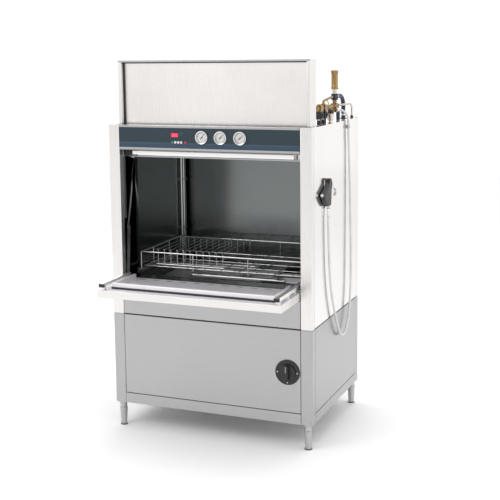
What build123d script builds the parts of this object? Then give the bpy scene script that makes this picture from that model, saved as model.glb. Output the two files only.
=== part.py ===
"""Front-loading utensil and pot washer with a split door, in millimetres.

The cabinet datum used while building is: X across the width from the centre plane, Y towards the back
from the front face of the posts, Z up from the floor. Everything is moved to the part's own origin, the
centre of its footprint box on the floor, when it is written. The upper door is raised, the lower door
is folded down into a loading shelf, and the rack stands inside the chamber.
"""
import math
import os

from build123d import *

# ---- driving dimensions ------------------------------------------------------------------------
WIDTH = 1350
DEPTH = 987
HALF = WIDTH / 2
BODY_TOP = 1970          # top of the cabinet's side panels
SEAM_LOW = 751           # top of the base
SEAM_HIGH = 757          # bottom of the upper cabinet
FRAME_BOTTOM = 160       # underside of the base frame
POST_WIDTH = 75
POST_DEPTH = 45
BASE_POST_DEPTH = 60
POST_IN = HALF - POST_WIDTH      # inner face of the front posts
SHEET = 2.0
TUBE_WALL = 2.0
RAIL = 40                # square tube of the base frame
DECK_TOP = 226           # equipment deck in the base
REAR_WING = 56           # rear cover's wrap round the sides

# chamber and tank
CHAMBER_HALF = 575
CHAMBER_FRONT = 190
CHAMBER_BACK = 905
CHAMBER_TOP = 1815
SILL_TOP = 980
TANK_FLOOR = 780
FILTER_LEVEL = 900

# doors
DOOR_TRAVEL = 400
DOOR_BOTTOM = 1765       # raised
DOOR_TOP = 2370          # raised
DOOR_HALF = 640
STILE_WIDTH = 24
STILE_FRONT = 80
STILE_BACK = 188
DOOR_PANEL_FRONT = 118
HINGE_Y, HINGE_Z = 67, 960
SHELF_FRONT = -335
SHELF_HALF = 597
SHELF_UNDER = 935
SHELF_TOP = 980
RUNNER_TOP = 1022
RUNNER_IN, RUNNER_OUT = 555, 585

# door linkage
ROD_PIVOT = (217, 1760)
KNUCKLE = (97, 1304)
ARM_X = (597, 602)
ROD_X = (605, 611)
PIN_RADIUS = 5.0
FIT = 0.05               # radial running clearance of pins and shafts

# control header
HEADER_LOW, HEADER_HIGH = 1818, 1970
FASCIA_LOW, FASCIA_HIGH = 1832, 1957
HEADER_BACK = 60
GAUGE_X = (-29, 95, 223)
GAUGE_Z = 1902
GAUGE_RADIUS = 41
BUTTON_X = (-228, -208, -188, -168, -138)
BUTTON_Z = 1869
BUTTON_RADIUS = 7.5
DISPLAY = (-236, -188, 1901, 1925)
SWITCH_X, SWITCH_Z = 516, 483
SWITCH_RADIUS = 78.5

# wash system
ARM_CENTRES = (-287, 287)
ARM_Y = 480
ARM_REACH = 268
LOWER_ARM_Z = 962
UPPER_ARM_Z = 1752
SPINDLE_RADIUS = 10.0
RISER_X = -560
DRAIN_X, DRAIN_Z = 60, 270
INLET_X, INLET_Z = 340, 400
SPIGOT = 18              # length of the drain and inlet spigots behind the base
PUMP = (-250, 560, 336)

# rack
RACK_HALF = 566
RACK_FRONT, RACK_BACK = 180, 785
RACK_FLOOR = RUNNER_TOP + 0.5
RACK_TOP = 1135

# counterbalance
SHAFT_Y, SHAFT_Z = 269, 1895
SHAFT_RADIUS = 10.0
DRUM_RADIUS = 62
CABLE_X = 628
CABLE_Y = 205

# top plumbing and spray gun
MANIFOLD_X, MANIFOLD_Z = 600, 2063
VALVE_Y = (370, 455)
STRAINER_Y = 599
BREAKER_Y = 690
HUB_LOW, HUB_HIGH = 2100, 2140
HUB_AXIS = 2122
HOSE_OUTLET_Z = 2037
GUN_X, GUN_Y = 692, 265
GUN_HALF = 12
TRIGGER_PIVOT = (303, 1608)
CLIP_Y = 706
HOSE_RADIUS = 7.5


# ---- helpers -----------------------------------------------------------------------------------
def slab(x, y, z):
    """Box from three (low, high) pairs."""
    size = [high - low for low, high in (x, y, z)]
    middle = [(high + low) / 2 for low, high in (x, y, z)]
    return Pos(*middle) * Box(*size)


def rod(start, end, radius):
    """Round bar between two points."""
    start, end = Vector(*start), Vector(*end)
    along = end - start
    return Plane(origin=start, z_dir=along) * Cylinder(
        radius, along.length, align=(Align.CENTER, Align.CENTER, Align.MIN)
    )


def mirrored(shape):
    """The shape and its mirror image across the centre plane."""
    return [shape, mirror(shape, about=Plane.YZ)]


def open_box(x, y, z, t):
    """Five flat plates that meet as a box without a lid: floor, two ends, front and back."""
    (x0, x1), (y0, y1), (z0, z1) = x, y, z
    return [
        slab(x, y, (z0, z0 + t)),
        slab((x0, x0 + t), y, (z0 + t, z1)),
        slab((x1 - t, x1), y, (z0 + t, z1)),
        slab((x0 + t, x1 - t), (y0, y0 + t), (z0 + t, z1)),
        slab((x0 + t, x1 - t), (y1 - t, y1), (z0 + t, z1)),
    ]


def plate_round_hole(x, y, z, hole_x, hole_y):
    """Four plates that leave a rectangular hole in a flat sheet."""
    return [
        slab((x[0], hole_x[0]), y, z),
        slab((hole_x[1], x[1]), y, z),
        slab(hole_x, (y[0], hole_y[0]), z),
        slab(hole_x, (hole_y[1], y[1]), z),
    ]


def pan(x, y, z, t, open_side):
    """Sheet-metal pan with its returns, open towards one side: 'front', 'back', 'left' or 'right'."""
    cut = {
        "back": ((x[0] + t, x[1] - t), (y[0] + t, y[1] + 1), (z[0] + t, z[1] - t)),
        "front": ((x[0] + t, x[1] - t), (y[0] - 1, y[1] - t), (z[0] + t, z[1] - t)),
        "left": ((x[0] - 1, x[1] - t), (y[0] + t, y[1] - t), (z[0] + t, z[1] - t)),
        "right": ((x[0] + t, x[1] + 1), (y[0] + t, y[1] - t), (z[0] + t, z[1] - t)),
    }
    return slab(x, y, z) - slab(*cut[open_side])


def hollow_post(x, y, z, t, radius=0.0):
    """Square tube with rounded upright edges."""
    outer = slab(x, y, z)
    if radius:
        outer = fillet(outer.edges().filter_by(Axis.Z), radius)
    return outer - slab((x[0] + t, x[1] - t), (y[0] + t, y[1] - t), (z[0] + t, z[1] - t))


def tube_rail(x, y, z, t=TUBE_WALL):
    """Square tube with open ends, running along its longest side."""
    spans = [x, y, z]
    longest = max(range(3), key=lambda axis: spans[axis][1] - spans[axis][0])
    core = [
        (low - 1, high + 1) if axis == longest else (low + t, high - t)
        for axis, (low, high) in enumerate(spans)
    ]
    return slab(*spans) - slab(*core)


def pipe(start, end, radius, wall=1.5):
    """Round tube with open ends between two points."""
    return rod(start, end, radius) - rod(start, end, radius - wall)


def flat_link(x, start, end, width, hole, solid_pin=False):
    """Flat bar with round ends in a plane across X, from one (Y, Z) eye to another."""
    (y0, z0), (y1, z1) = start, end
    length = math.hypot(y1 - y0, z1 - z0)
    tilt = math.degrees(math.atan2(z1 - z0, y1 - y0))
    plane = Plane(origin=(x[0], (y0 + y1) / 2, (z0 + z1) / 2), x_dir=(0, 1, 0), z_dir=(1, 0, 0))
    outline = plane * (Rot(0, 0, tilt) * SlotCenterToCenter(length, width))
    bar = extrude(outline, x[1] - x[0], dir=(1, 0, 0))
    if solid_pin:
        return bar
    for y, z in (start, end):
        bar -= rod((x[0] - 1, y, z), (x[1] + 1, y, z), hole)
    return bar


def ring(centre, outer, inner, length, direction):
    """Hollow cylinder standing on its start face."""
    plane = Plane(origin=centre, z_dir=direction)
    stand = (Align.CENTER, Align.CENTER, Align.MIN)
    return plane * (Cylinder(outer, length, align=stand) - Cylinder(inner, length, align=stand))


# ---- base ---------------------------------------------------------------------------------------
def base_frame():
    posts = []
    for y in ((0, BASE_POST_DEPTH), (DEPTH - BASE_POST_DEPTH, DEPTH)):
        tube = hollow_post((POST_IN, HALF), y, (FRAME_BOTTOM, SEAM_LOW), TUBE_WALL, 5)
        spacer = slab((POST_IN + 3, HALF - 3), (y[0] + 3, y[1] - 3), (SEAM_LOW, SEAM_HIGH))
        socket = rod((HALF - 37.5, sum(y) / 2, FRAME_BOTTOM - 10), (HALF - 37.5, sum(y) / 2, FRAME_BOTTOM), 29)
        posts += mirrored(tube) + mirrored(spacer) + mirrored(socket)
    inside = (BASE_POST_DEPTH, DEPTH - BASE_POST_DEPTH)
    across = (-POST_IN, POST_IN)
    rails = [
        tube_rail(across, (0, RAIL), (FRAME_BOTTOM, DECK_TOP)),
        tube_rail(across, (DEPTH - RAIL, DEPTH), (FRAME_BOTTOM, DECK_TOP)),
        tube_rail(across, (24, 24 + RAIL), (712, SEAM_HIGH)),
        tube_rail(across, (DEPTH - 64, DEPTH - 24), (712, SEAM_HIGH)),
    ]
    rails += mirrored(tube_rail((HALF - RAIL, HALF), inside, (FRAME_BOTTOM, 220)))
    rails += mirrored(tube_rail((618, 658), inside, (712, SEAM_HIGH)))
    rails += mirrored(tube_rail((280, 320), (RAIL, DEPTH - RAIL), (DECK_TOP - SHEET - RAIL, DECK_TOP - SHEET)))
    deck = slab((-POST_IN, POST_IN), (RAIL, DEPTH - RAIL), (DECK_TOP - SHEET, DECK_TOP))
    return posts + rails + [deck]


def base_front_panel():
    skin = pan((-598.5, 598.5), (1, 21), (230, 750), 1.5, "back")
    return [skin - rod((SWITCH_X, -5, SWITCH_Z), (SWITCH_X, 10, SWITCH_Z), 30)]


def base_cladding():
    sides = mirrored(pan((HALF - 15, HALF), (62, 925), (224, 750), 1.5, "left"))
    rear = pan((-598, 598), (DEPTH - 20, DEPTH), (230, 750), 1.5, "front")
    rear -= rod((DRAIN_X, DEPTH - 30, DRAIN_Z), (DRAIN_X, DEPTH + 1, DRAIN_Z), 22)
    rear -= rod((INLET_X, DEPTH - 30, INLET_Z), (INLET_X, DEPTH + 1, INLET_Z), 16)
    return sides + [rear]


def feet():
    legs = []
    for y in (BASE_POST_DEPTH / 2, DEPTH - BASE_POST_DEPTH / 2):
        pad = rod((HALF - 37.5, y, 0), (HALF - 37.5, y, 8), 23)
        leg = Pos(HALF - 37.5, y, 8 + 55) * Cone(19, 25, 110)
        collar = rod((HALF - 37.5, y, 118), (HALF - 37.5, y, FRAME_BOTTOM - 10), 22)
        legs += mirrored(pad + leg + collar)
    return legs


# ---- upper cabinet ------------------------------------------------------------------------------
def front_posts():
    post = hollow_post((POST_IN, HALF), (0, POST_DEPTH), (SEAM_HIGH, BODY_TOP), SHEET, 5)
    return mirrored(post)


def side_panels():
    back = DEPTH - REAR_WING
    sheet = slab((HALF - SHEET, HALF), (POST_DEPTH + 1, back - 1), (SEAM_HIGH + 1, BODY_TOP))
    lip = slab((645, HALF - SHEET), (POST_DEPTH + 1, back - 1), (BODY_TOP - SHEET, BODY_TOP))
    return mirrored(sheet) + mirrored(lip)


def rear_panel():
    sheet = slab((-HALF, HALF), (DEPTH - SHEET, DEPTH), (SEAM_HIGH + 1, BODY_TOP))
    wing = slab((HALF - SHEET, HALF), (DEPTH - REAR_WING, DEPTH - SHEET), (SEAM_HIGH + 1, BODY_TOP))
    return [sheet] + mirrored(wing)


def top_cover():
    sheet = slab((-655, 655), (200, DEPTH - SHEET), (BODY_TOP - 4, BODY_TOP - 2))
    flange = slab((-640, 640), (200, 202), (BODY_TOP - 9, BODY_TOP - 4))
    return [sheet, flange]


def front_apron():
    return [pan((-598, 598), (1, 31), (SEAM_HIGH + 2, 928), SHEET, "back")]


# ---- control header -----------------------------------------------------------------------------
def fascia_holes(low, high, gauge, button):
    holes = [rod((x, low, GAUGE_Z), (x, high, GAUGE_Z), gauge) for x in GAUGE_X]
    holes += [rod((x, low, BUTTON_Z), (x, high, BUTTON_Z), button) for x in BUTTON_X]
    holes.append(slab(DISPLAY[:2], (low, high), DISPLAY[2:]))
    return holes


def control_box():
    shell = slab((-599, 599), (0, HEADER_BACK), (HEADER_LOW, HEADER_HIGH))
    shell -= slab((-597, 597), (6, HEADER_BACK - SHEET), (HEADER_LOW + SHEET, HEADER_HIGH - SHEET))
    shell -= slab((-600, 600), (-1, 4), (FASCIA_LOW, FASCIA_HIGH))
    for hole in fascia_holes(3, 7, 38, 9.4):
        shell -= hole
    return [shell]


def control_panel():
    plate = slab((-599, 599), (0, 4), (FASCIA_LOW, FASCIA_HIGH))
    for hole in fascia_holes(-1, 5, 37.6, BUTTON_RADIUS + 0.4):
        plate -= hole
    return [plate]


def display_window():
    x0, x1, z0, z1 = DISPLAY
    return [slab((x0, x1), (-0.6, 12), (z0, z1))]


def gauge_cases():
    cases = []
    for x in GAUGE_X:
        case = rod((x, -10, GAUGE_Z), (x, 0, GAUGE_Z), GAUGE_RADIUS)
        case += rod((x, 0, GAUGE_Z), (x, 40, GAUGE_Z), 37.5)
        case -= rod((x, -11, GAUGE_Z), (x, -1, GAUGE_Z), 36)
        case -= rod((x, 3, GAUGE_Z), (x, 38, GAUGE_Z), 35)
        case += rod((x, -5.5, GAUGE_Z), (x, -1, GAUGE_Z), 1.5)
        cases.append(case)
    return cases


def gauge_lenses():
    return [rod((x, -8.5, GAUGE_Z), (x, -6.5, GAUGE_Z), 36) for x in GAUGE_X]


def gauge_needle(x, degrees):
    """Flat pointer with a counterweight tail, turned clockwise from straight up."""
    blade = Polyline((-2.2, 0), (-0.6, 30), (0.6, 30), (2.2, 0), (3, -11), (-3, -11), close=True)
    needle = extrude(make_face(blade), 0.8) + Cylinder(4, 1.4, align=(Align.CENTER, Align.CENTER, Align.MIN))
    needle -= Cylinder(1.5 + FIT, 10)
    dial = Plane(origin=(x, -3.6, GAUGE_Z), x_dir=(1, 0, 0), z_dir=(0, -1, 0))
    return [dial * (Rot(0, 0, -degrees) * needle)]


def push_button(x):
    """Cap in front of the fascia with a retaining collar behind it."""
    cap = rod((x, -4, BUTTON_Z), (x, 5, BUTTON_Z), BUTTON_RADIUS)
    collar = rod((x, 4.4, BUTTON_Z), (x, 6.4, BUTTON_Z), 9)
    stem = rod((x, 6.4, BUTTON_Z), (x, 20, BUTTON_Z), 3)
    return [cap + collar + stem]


def main_switch_plate():
    plate = rod((SWITCH_X, -6, SWITCH_Z), (SWITCH_X, 1, SWITCH_Z), SWITCH_RADIUS)
    plate = chamfer(plate.faces().sort_by(Axis.Y)[0].edges(), 2)
    plate += rod((SWITCH_X, 1, SWITCH_Z), (SWITCH_X, 45, SWITCH_Z), 28)
    return [plate - rod((SWITCH_X, -7, SWITCH_Z), (SWITCH_X, 30, SWITCH_Z), PIN_RADIUS + FIT)]


def main_switch_knob():
    """Rotary handle: a round skirt with a raised grip that points upwards when the switch is off."""
    skirt = rod((SWITCH_X, -14, SWITCH_Z), (SWITCH_X, -6.5, SWITCH_Z), 52)
    grip = slab((SWITCH_X - 13, SWITCH_X + 13), (-40, -14), (SWITCH_Z - 48, SWITCH_Z + 48))
    grip = fillet(grip.edges().filter_by(Axis.Y), 11)
    shaft = rod((SWITCH_X, -6.5, SWITCH_Z), (SWITCH_X, 28, SWITCH_Z), PIN_RADIUS)
    return [skirt + grip + shaft]


# ---- chamber and tank ---------------------------------------------------------------------------
def wash_chamber():
    outer = CHAMBER_HALF + SHEET
    wall = slab((CHAMBER_HALF, outer), (CHAMBER_FRONT, CHAMBER_BACK), (SILL_TOP, CHAMBER_TOP))
    flange = slab((outer, 594), (CHAMBER_FRONT, CHAMBER_FRONT + SHEET), (SILL_TOP, CHAMBER_TOP))
    rear = slab((-outer, outer), (CHAMBER_BACK, CHAMBER_BACK + SHEET), (SILL_TOP - 4, CHAMBER_TOP))
    ceiling = slab((-594, 594), (CHAMBER_FRONT, CHAMBER_BACK + SHEET), (CHAMBER_TOP, CHAMBER_TOP + SHEET))
    sill = slab((-594, 594), (90, CHAMBER_FRONT), (SILL_TOP - SHEET, SILL_TOP))
    drip = slab((-594, 594), (90, 90 + SHEET), (932, SILL_TOP - SHEET))
    return mirrored(wall) + mirrored(flange) + [rear, ceiling, sill, drip]


def wash_tank():
    outer = CHAMBER_HALF + SHEET
    y = (CHAMBER_FRONT - SHEET, CHAMBER_BACK + SHEET)
    sump_x, sump_y = (-120, 120), (460, 660)
    floor = plate_round_hole((-outer, outer), y, (TANK_FLOOR - SHEET, TANK_FLOOR), sump_x, sump_y)
    walls = mirrored(slab((CHAMBER_HALF, outer), y, (TANK_FLOOR, SILL_TOP - 4)))
    inner = (-CHAMBER_HALF, CHAMBER_HALF)
    walls.append(slab(inner, (y[0], CHAMBER_FRONT), (TANK_FLOOR, SILL_TOP - SHEET)))
    walls.append(slab(inner, (CHAMBER_BACK, y[1]), (TANK_FLOOR, SILL_TOP - 4)))
    return floor + walls + open_box(sump_x, sump_y, (700, TANK_FLOOR - SHEET), SHEET)


def tank_filters():
    z = (FILTER_LEVEL, FILTER_LEVEL + 3)
    y = (CHAMBER_FRONT + 3, CHAMBER_BACK - 3)
    right = plate_round_hole((3, 573), y, z, (152, 388), (542, 718))
    ledge = mirrored(slab((562, CHAMBER_HALF), y, (FILTER_LEVEL - 12, FILTER_LEVEL)))
    return [slab((-573, -3), y, z)] + right + ledge


def scrap_basket():
    """Shallow strainer tray whose rim rests on the filter plates."""
    tray = slab((155, 385), (545, 715), (868, 905.5)) - slab((157, 383), (547, 713), (870, 906))
    rim = slab((146, 394), (536, 724), (903.5, 905.5)) - slab((157, 383), (547, 713), (902, 907))
    slots = [slab((x, x + 5), (560, 700), (867, 871)) for x in range(170, 370, 20)]
    tray += rim
    for slot in slots:
        tray -= slot
    return [tray]


def tank_heater():
    """Immersion element of three long hairpins on a flange in the tank's right wall."""
    z = 832
    bars = [rod((-420, y, z), (548, y, z), 5) for y in (380, 430, 690, 740, 800, 850)]
    ends = [slab((-430, -420), (y - 5, y + 55), (z - 5, z + 5)) for y in (380, 690, 800)]
    flange = slab((548, CHAMBER_HALF), (370, 860), (z - 22, z + 22))
    return bars + ends + [flange]


def door_guides():
    """Channels for the raised door, lower hinge brackets and bearing plates for the balance shaft."""
    y0, y1 = 112, 162
    web = slab((668, 672), (y0, y1), (1350, 1960))
    sides = [slab((646, 668), (y0, y0 + 4), (1350, 1960)), slab((646, 668), (y1 - 4, y1), (1350, 1960))]
    tie = slab((652, 672), (POST_DEPTH, y0), (1380, 1420))
    hinge = slab((606, 614), (POST_DEPTH, HINGE_Y + 26), (HINGE_Z - 26, HINGE_Z + 26))
    hinge -= rod((600, HINGE_Y, HINGE_Z), (620, HINGE_Y, HINGE_Z), PIN_RADIUS + FIT)
    bearing = slab((648, 656), (SHAFT_Y - 22, SHAFT_Y + 22), (SHAFT_Z - 24, BODY_TOP - 4))
    bearing -= rod((640, SHAFT_Y, SHAFT_Z), (660, SHAFT_Y, SHAFT_Z), SHAFT_RADIUS + FIT)
    return [piece for solid in [web, tie, hinge, bearing] + sides for piece in mirrored(solid)]


# ---- upper door ---------------------------------------------------------------------------------
def upper_door_panel():
    inner = DOOR_HALF - STILE_WIDTH
    y = (DOOR_PANEL_FRONT, STILE_BACK - 2)
    z = (DOOR_BOTTOM + 2, DOOR_TOP)
    shell = slab((-inner, inner), y, z)
    shell -= slab((-inner + 1, inner - 1), (y[0] + 1, y[1] - 1), (z[0] + 1, z[1] - 1))
    return [shell]


def upper_door_stiles():
    stile = hollow_post(
        (DOOR_HALF - STILE_WIDTH, DOOR_HALF), (STILE_FRONT, STILE_BACK), (DOOR_BOTTOM, DOOR_TOP), SHEET, 3
    )
    pieces = mirrored(stile)
    for z in (DOOR_BOTTOM + 12, DOOR_BOTTOM + 145):
        pieces += mirrored(slab((DOOR_HALF, 664), (118, 156), (z, z + 36)))
    y, z = ROD_PIVOT
    bracket = slab((613, 619), (STILE_BACK, y + 15), (z - 17, z + 40))
    pivot = rod((604, y, z), (613, y, z), PIN_RADIUS)
    anchor = slab((619, 636), (STILE_BACK, CABLE_Y + 10), (z + 28, z + 36))
    pieces += mirrored(bracket + pivot + anchor)
    return pieces


def upper_door_handle():
    """Folded grip along the foot of the upper door, on stand-offs."""
    z = (DOOR_BOTTOM + 7, DOOR_BOTTOM + 47)
    bar = slab((-540, 540), (62, 106), z)
    bar = fillet(bar.edges().filter_by(Axis.X), 12)
    bar -= slab((-538, 538), (66, 102), (z[0] + 4, z[1] - 4))
    stands = [slab((x - 15, x + 15), (106, DOOR_PANEL_FRONT), (z[0] + 8, z[1] - 8)) for x in (-480, 0, 480)]
    return [bar] + stands


# ---- lower door ---------------------------------------------------------------------------------
def lower_door_skin():
    x = (-SHELF_HALF, SHELF_HALF)
    y = (SHELF_FRONT, HINGE_Y + 8)
    skin = slab(x, y, (SHELF_UNDER, SHELF_TOP - SHEET))
    skin = fillet(skin.edges().filter_by(Axis.X).group_by(Axis.Y)[0].sort_by(Axis.Z)[0], 6)
    skin -= slab((x[0] + 2, x[1] - 2), (y[0] + 2, y[1] - 2), (SHELF_UNDER + 2, SHELF_TOP))
    return [skin]


def lower_door_liner():
    """Top tray of the shelf with a raised rim on three sides that drains back into the tank."""
    top = slab((-SHELF_HALF, SHELF_HALF), (SHELF_FRONT, HINGE_Y + 8), (SHELF_TOP - SHEET, SHELF_TOP))
    z = (SHELF_TOP, 1017)
    front = fillet(slab((-535, 535), (-262, -242), z).edges().filter_by(Axis.X).group_by(Axis.Z)[-1], 7)
    front -= slab((-533, 533), (-260, -244), (z[0] - 1, z[1] - 8))
    side = fillet(slab((515, 535), (-242, 20), z).edges().filter_by(Axis.Y).group_by(Axis.Z)[-1], 7)
    side -= slab((517, 533), (-240, 18), (z[0] - 1, z[1] - 8))
    return [top, front] + mirrored(side)


def lower_door_rails():
    bar = slab((RUNNER_IN, RUNNER_OUT), (SHELF_FRONT + 2, 30), (1002, RUNNER_TOP))
    bar = fillet(bar.edges().filter_by(Axis.Y).group_by(Axis.Z)[-1], 5)
    pieces = mirrored(bar)
    for y in (-300, -150, 0):
        pieces += mirrored(slab((RUNNER_IN + 6, RUNNER_OUT - 6), (y - 12, y + 12), (SHELF_TOP, 1002)))
    return pieces


def lower_door_arms():
    """Lifting arms on the shelf's ends, with the hinge pins and the knuckle pins."""
    arm = flat_link(ARM_X, (HINGE_Y, HINGE_Z), KNUCKLE, 30, 0, solid_pin=True)
    hinge_pin = rod((ARM_X[1], HINGE_Y, HINGE_Z), (616, HINGE_Y, HINGE_Z), PIN_RADIUS)
    knuckle = rod((ARM_X[1], *KNUCKLE), (604.3, *KNUCKLE), 11)
    return mirrored(arm + hinge_pin + knuckle)


def link_rods():
    link = flat_link(ROD_X, ROD_PIVOT, KNUCKLE, 16, PIN_RADIUS + FIT)
    eye = ring((ROD_X[0], *ROD_PIVOT), 12, PIN_RADIUS + FIT, ROD_X[1] - ROD_X[0], (1, 0, 0))
    return mirrored(link + eye)


# ---- counterbalance -----------------------------------------------------------------------------
def balance_shaft():
    """Torsion-spring shaft across the cabinet with a cable drum at each end."""
    shaft = rod((-660, SHAFT_Y, SHAFT_Z), (660, SHAFT_Y, SHAFT_Z), SHAFT_RADIUS)
    drum = ring((CABLE_X - 10, SHAFT_Y, SHAFT_Z), DRUM_RADIUS, SHAFT_RADIUS, 20, (1, 0, 0))
    springs = ring((120, SHAFT_Y, SHAFT_Z), 21, 15, 440, (1, 0, 0))
    collars = ring((560, SHAFT_Y, SHAFT_Z), 24, SHAFT_RADIUS, 12, (1, 0, 0))
    return [shaft] + mirrored(drum) + mirrored(springs) + mirrored(collars)


def balance_cables():
    low = ROD_PIVOT[1] + 36
    return mirrored(rod((CABLE_X, CABLE_Y, low), (CABLE_X, CABLE_Y, SHAFT_Z), 1.5))


# ---- rack ---------------------------------------------------------------------------------------
def rack_runners():
    top = slab((545, CHAMBER_HALF), (150, 792), (RUNNER_TOP - 4, RUNNER_TOP))
    web = slab((CHAMBER_HALF - 4, CHAMBER_HALF), (CHAMBER_FRONT + 2, 792), (RUNNER_TOP - 24, RUNNER_TOP - 4))
    return mirrored(top) + mirrored(web)


def wash_rack():
    wires = []
    side = RACK_HALF - 5
    foot = RACK_FLOOR + 4
    cross = foot + 4 + 3
    deck = cross + 3 + 2.5
    rim = RACK_TOP - 5
    for x in (-side, side):
        wires.append(rod((x, RACK_FRONT + 10, foot), (x, RACK_BACK - 10, foot), 4))
        wires.append(rod((x, RACK_FRONT + 10, rim), (x, RACK_BACK - 10, rim), 5))
    for y in (RACK_FRONT + 5, RACK_BACK - 5):
        wires.append(rod((-side - 5, y, rim), (side + 5, y, rim), 5))
    for y in (RACK_FRONT + 30, 330, 480, 630, RACK_BACK - 30):
        wires.append(rod((-side - 4, y, cross), (side + 4, y, cross), 3))
    for index in range(9):
        x = -480 + index * 120
        wires.append(rod((x, RACK_FRONT + 12, deck), (x, RACK_BACK - 12, deck), 2.5))
    for y in (RACK_FRONT + 5, RACK_BACK - 5):
        for x in (-side, -190, 190, side):
            wires.append(rod((x, y, RACK_FLOOR), (x, y, rim - 5), 4))
    for x in (-side, side):
        for y in (360, 600):
            wires.append(rod((x, y, foot + 4), (x, y, rim - 5), 4))
    return wires


def tray_insert():
    """Eleven upright hoops on two rails, holding trays on edge on the rack's left half."""
    low = RACK_FLOOR + 19
    pieces = []
    for y in (230, 700):
        pieces.append(rod((-470, y, low + 4), (10, y, low + 4), 4))
    for index in range(11):
        x = -460 + index * 46
        base = low + 8
        pieces += [rod((x, y, base), (x, y, base + 92), 2.5) for y in (230, 700)]
        pieces.append(rod((x, 222, base + 94.5), (x, 708, base + 94.5), 2.5))
    return pieces


# ---- wash system --------------------------------------------------------------------------------
def spray_arm(x, z, nozzle_side):
    """Hollow two-ended arm on a spindle; the slots on nozzle_side are its jets."""
    blade = slab((-ARM_REACH, ARM_REACH), (-21, 21), (0, 20))
    blade = fillet(blade.edges().filter_by(Axis.Z), 18)
    blade = fillet(blade.edges().filter_by(Axis.X), 4)
    hub = Pos(0, 0, 10) * Cylinder(32, 34)
    arm = blade + hub
    for reach in (70, 120, 170, 220, 250):
        for side in (-1, 1):
            level = 20 if nozzle_side > 0 else 0
            arm -= Pos(side * reach, side * 8, level) * Box(5, 16, 6)
    arm -= Cylinder(SPINDLE_RADIUS + FIT, 200)
    return [Pos(x, ARM_Y, z) * arm]


def wash_pipework():
    """Manifolds with the arm spindles, risers at the rear left, pump suction and delivery pipes."""
    low, high, rear = 930, 1797, 850
    pipes = []
    for z in (low, high):
        pipes.append(pipe((-330, ARM_Y, z), (330, ARM_Y, z), 15))
        pipes.append(pipe((0, ARM_Y + 15.5, z), (0, rear - 15.5, z), 15))
        pipes.append(pipe((RISER_X + 15, rear, z), (15, rear, z), 15))
    pipes.append(pipe((RISER_X, rear, low - 15), (RISER_X, rear, high + 15), 14.5))
    pipes.append(pipe((RISER_X + 2, rear - 38, low - 15), (RISER_X + 2, rear - 38, high + 15), 10))
    for x in ARM_CENTRES:
        stub = rod((x, ARM_Y, low + 15), (x, ARM_Y, LOWER_ARM_Z + 32), SPINDLE_RADIUS)
        pipes.append(stub + rod((x, ARM_Y, LOWER_ARM_Z + 28.5), (x, ARM_Y, LOWER_ARM_Z + 34), 18))
        stub = rod((x, ARM_Y, UPPER_ARM_Z - 12), (x, ARM_Y, high - 15), SPINDLE_RADIUS)
        pipes.append(stub + rod((x, ARM_Y, UPPER_ARM_Z - 14), (x, ARM_Y, UPPER_ARM_Z - 8.5), 18))
    px, py, pz = PUMP
    pipes.append(pipe((0, py, pz - 24), (0, py, 700), 24))
    pipes.append(pipe((px + 14, py, pz), (-24, py, pz), 24))
    pipes.append(pipe((px - 18, py, pz + 92), (px - 18, py, TANK_FLOOR - SHEET), 20))
    pipes.append(pipe((DRAIN_X, py, DRAIN_Z - 20), (DRAIN_X, py, 700), 20))
    outlet = pipe((DRAIN_X, py + 20.5, DRAIN_Z), (DRAIN_X, DEPTH, DRAIN_Z), 19)
    pipes.append(outlet + pipe((DRAIN_X, DEPTH, DRAIN_Z), (DRAIN_X, DEPTH + SPIGOT, DRAIN_Z), 20, 2.5))
    inlet = pipe((INLET_X, 910, INLET_Z), (INLET_X, DEPTH, INLET_Z), 13)
    pipes.append(inlet + pipe((INLET_X, DEPTH, INLET_Z), (INLET_X, DEPTH + SPIGOT, INLET_Z), 14, 2.5))
    return pipes


def wash_pump():
    """Centrifugal pump: a hollow volute, its motor and the feet they stand on."""
    px, py, pz = PUMP
    volute = rod((px - 50, py, pz), (px + 14, py, pz), 92) - rod((px - 44, py, pz), (px + 8, py, pz), 84)
    volute -= rod((px - 51, py, pz), (px - 43, py, pz), 8 + FIT)
    volute -= rod((px + 7, py, pz), (px + 15, py, pz), 22)
    motor = rod((px - 300, py, pz), (px - 50, py, pz), 78)
    motor -= rod((px - 95, py, pz), (px - 49, py, pz), 8 + FIT)
    motor -= rod((px - 290, py, pz), (px - 100, py, pz), 55)
    stand = slab((px - 290, px - 70), (py - 60, py + 60), (DECK_TOP, pz - 77))
    return [volute, motor, stand]


def pump_impeller():
    px, py, pz = PUMP
    disc = rod((px - 38, py, pz), (px - 32, py, pz), 74)
    shaft = rod((px - 92, py, pz), (px - 12, py, pz), 8)
    wheel = disc + shaft
    for index in range(6):
        vane = Pos(px - 21, py, pz) * (Rot(index * 60, 0, 0) * (Pos(0, 45, 0) * Box(22, 54, 5)))
        wheel += vane
    return [wheel]


def rinse_boiler():
    """Insulated booster cylinder lying across the right half of the base, on two saddles."""
    y, z = 780, 400
    body = rod((120, y, z), (560, y, z), 130) - rod((122, y, z), (558, y, z), 128)
    ends = [rod((104, y, z), (120, y, z), 112), rod((560, y, z), (576, y, z), 112)]
    saddles = [slab((x, x + 30), (y - 90, y + 90), (DECK_TOP, z - 112)) for x in (180, 460)]
    saddles = [saddle - rod((100, y, z), (600, y, z), 130.2) for saddle in saddles]
    return [body] + ends + saddles


def electrical_box():
    shell = slab((260, 590), (70, 230), (300, 690))
    return [shell - slab((262, 588), (72, 228), (302, 688))]


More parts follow.
